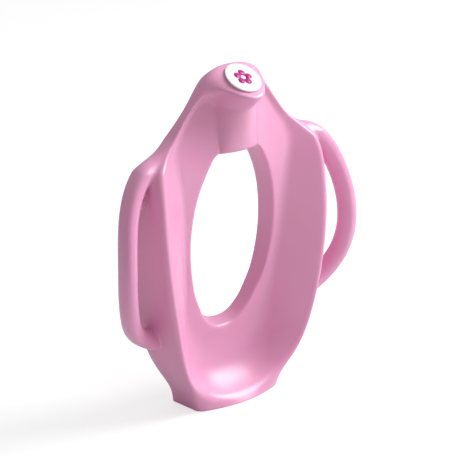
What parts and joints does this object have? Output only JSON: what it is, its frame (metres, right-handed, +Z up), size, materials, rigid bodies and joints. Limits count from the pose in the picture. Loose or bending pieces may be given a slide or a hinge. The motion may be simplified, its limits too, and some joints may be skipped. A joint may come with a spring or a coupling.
{
  "type": "potty training seat",
  "caption": "Child's training seat that lies on a toilet seat: a pink moulded shell with a raised splash guard, arched side handles and a flat foot.",
  "frame": {"origin": "middle of the foot's flat face, on the floor", "axes": "+Z up as the seat stands on its foot, -Y the side a child sits on, +Y the side that rests on the toilet, X across"},
  "size_m": [0.3466, 0.0717, 0.3836],
  "materials": {
    "seat_plastic": "gloss moulded",
    "badge_plastic": "gloss moulded",
    "strip_rubber": "soft matte"
  },
  "bodies": {
    "root": {"seat_body": "seat_plastic", "badge": "badge_plastic", "grip_strip_right": "strip_rubber", "grip_strip_left": "strip_rubber"}
  },
  "joints": []
}
